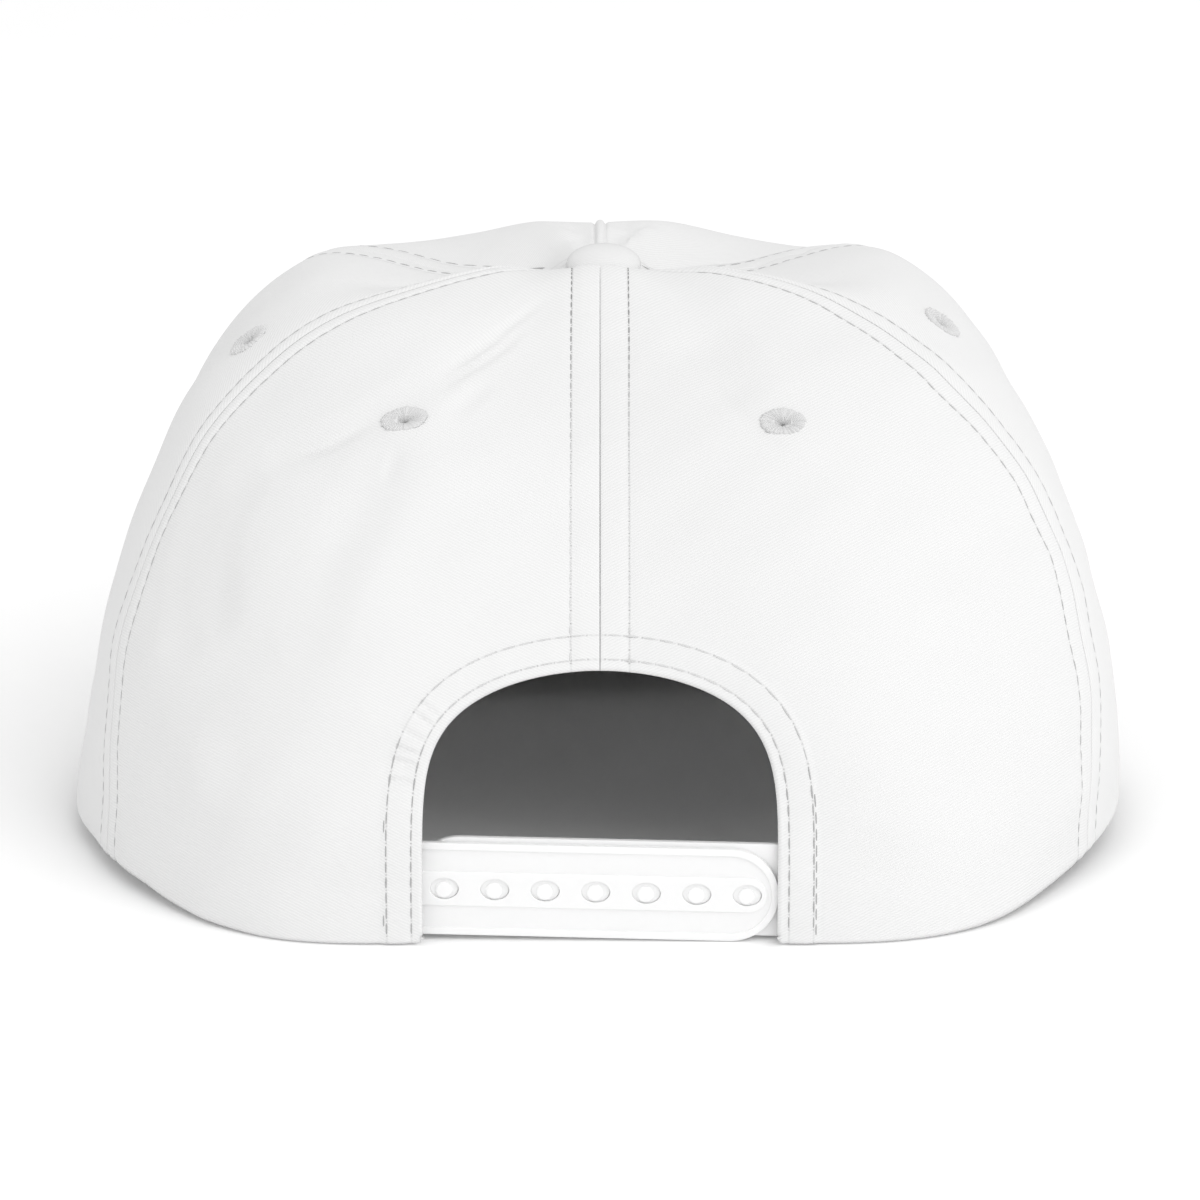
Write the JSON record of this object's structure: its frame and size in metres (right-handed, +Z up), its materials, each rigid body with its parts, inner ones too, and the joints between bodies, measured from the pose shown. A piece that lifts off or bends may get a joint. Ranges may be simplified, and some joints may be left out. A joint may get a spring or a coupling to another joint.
{
  "type": "surf cap",
  "caption": "Panelled snapback cap with a pinched front, covered button, stitched eyelets, a curved brim and an arched rear opening closed by a plastic snap strap.",
  "frame": {"origin": "middle of the bounding box seen from above, on the surface that the cap rests on", "axes": "+X is the wearer's right, +Y points out over the brim, +Z is up; the rear opening faces -Y"},
  "size_m": [0.1974, 0.2381, 0.1082],
  "materials": {
    "crown_twill": "white cotton twill with a fine diagonal rib, matt",
    "brim_twill": "white cotton twill over a stiff brim board, matt",
    "button_cloth": "white cotton twill pulled over a round button, matt",
    "embroidery_thread": "white satin stitched thread with a slight sheen",
    "seam_thread": "white sewing thread in short topstitches",
    "strap_plastic": "white moulded plastic with a soft gloss"
  },
  "bodies": {
    "root": {"front_panel": "crown_twill", "side_panel_left": "crown_twill", "side_panel_right": "crown_twill", "rear_panel_left": "crown_twill", "rear_panel_right": "crown_twill", "brim": "brim_twill", "button": "button_cloth", "eyelet_rear_left": "embroidery_thread", "eyelet_rear_right": "embroidery_thread", "eyelet_side_left": "embroidery_thread", "eyelet_side_right": "embroidery_thread", "strap_with_holes": "strap_plastic", "strap_with_pegs": "strap_plastic"}
  },
  "joints": []
}
